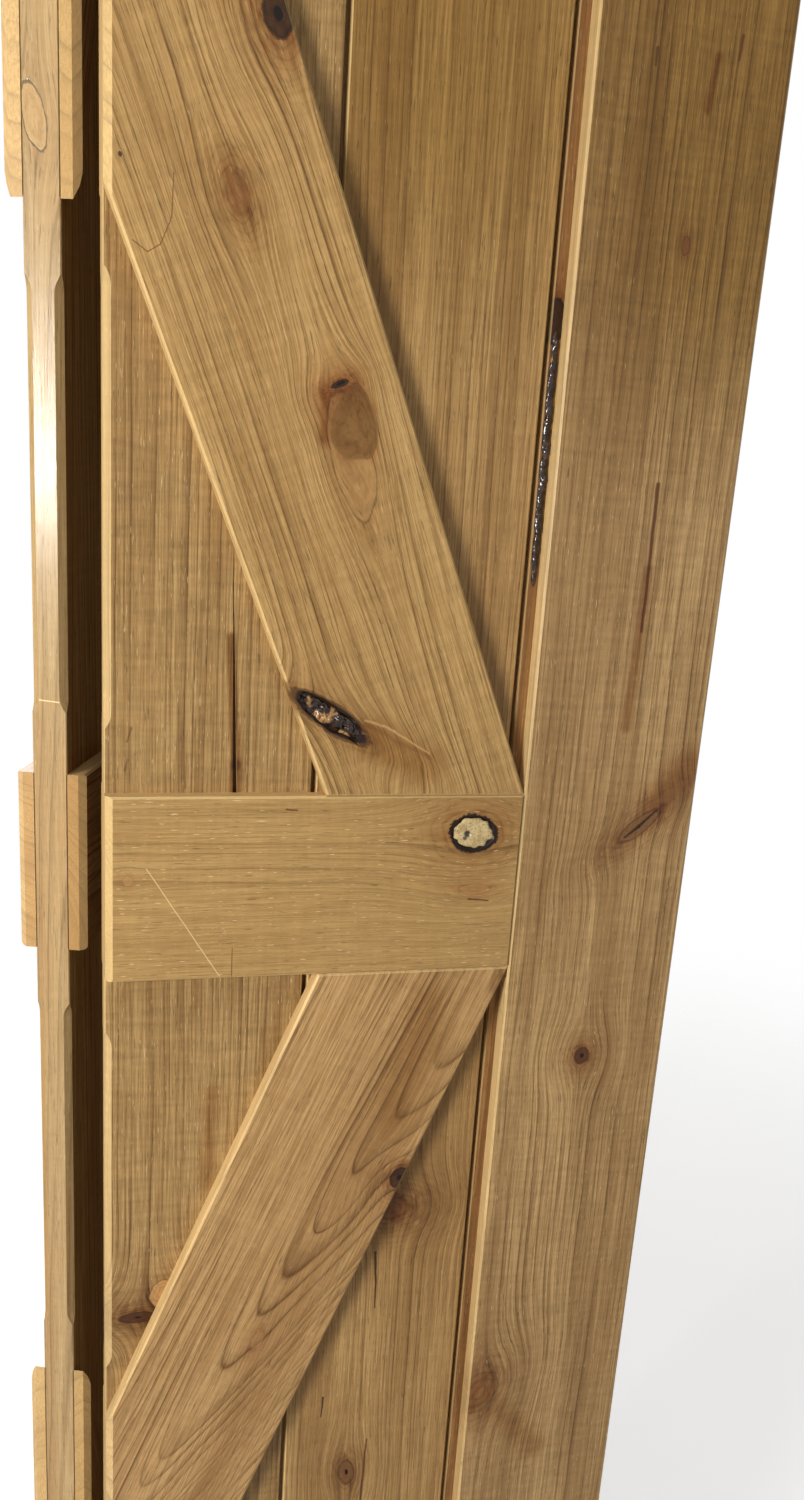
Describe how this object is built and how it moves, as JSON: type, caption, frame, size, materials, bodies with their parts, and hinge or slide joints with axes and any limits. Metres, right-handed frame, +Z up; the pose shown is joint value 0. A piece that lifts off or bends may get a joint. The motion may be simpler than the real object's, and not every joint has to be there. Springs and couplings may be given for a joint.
{
  "type": "bi-fold barn door",
  "caption": "Knotty wood bi-fold barn door, tongued boards with a planted frame and diagonal braces on both faces, half folded.",
  "frame": {"origin": "centre of the half-folded door's footprint, on the floor", "axes": "+Z up, +X along the right leaf away from the fold, -Y out of the right leaf's front face"},
  "size_m": [0.5166, 0.5178, 2.1336],
  "materials": {
    "board_wood": "clear satin varnish on knotty alder",
    "frame_wood": "clear satin varnish on knotty alder",
    "hinge_steel": "satin"
  },
  "bodies": {
    "root": {"right_fold_board": "board_wood", "right_middle_board": "board_wood", "right_outer_board": "board_wood", "right_front_stile": "frame_wood", "right_front_top_rail": "frame_wood", "right_front_mid_rail": "frame_wood", "right_front_bottom_rail": "frame_wood", "right_front_upper_brace": "frame_wood", "right_front_lower_brace": "frame_wood", "right_back_stile": "frame_wood", "right_back_top_rail": "frame_wood", "right_back_mid_rail": "frame_wood", "right_back_bottom_rail": "frame_wood", "right_back_upper_brace": "frame_wood", "right_back_lower_brace": "frame_wood", "left_fold_board": "board_wood", "left_middle_board": "board_wood", "left_outer_board": "board_wood", "left_front_stile": "frame_wood", "left_front_top_rail": "frame_wood", "left_front_mid_rail": "frame_wood", "left_front_bottom_rail": "frame_wood", "left_front_upper_brace": "frame_wood", "left_front_lower_brace": "frame_wood", "left_back_stile": "frame_wood", "left_back_top_rail": "frame_wood", "left_back_mid_rail": "frame_wood", "left_back_bottom_rail": "frame_wood", "left_back_upper_brace": "frame_wood", "left_back_lower_brace": "frame_wood", "top_hinge_right_plate": "hinge_steel", "top_hinge_left_plate": "hinge_steel", "top_hinge_pin": "hinge_steel", "bottom_hinge_right_plate": "hinge_steel", "bottom_hinge_left_plate": "hinge_steel", "bottom_hinge_pin": "hinge_steel"}
  },
  "joints": []
}
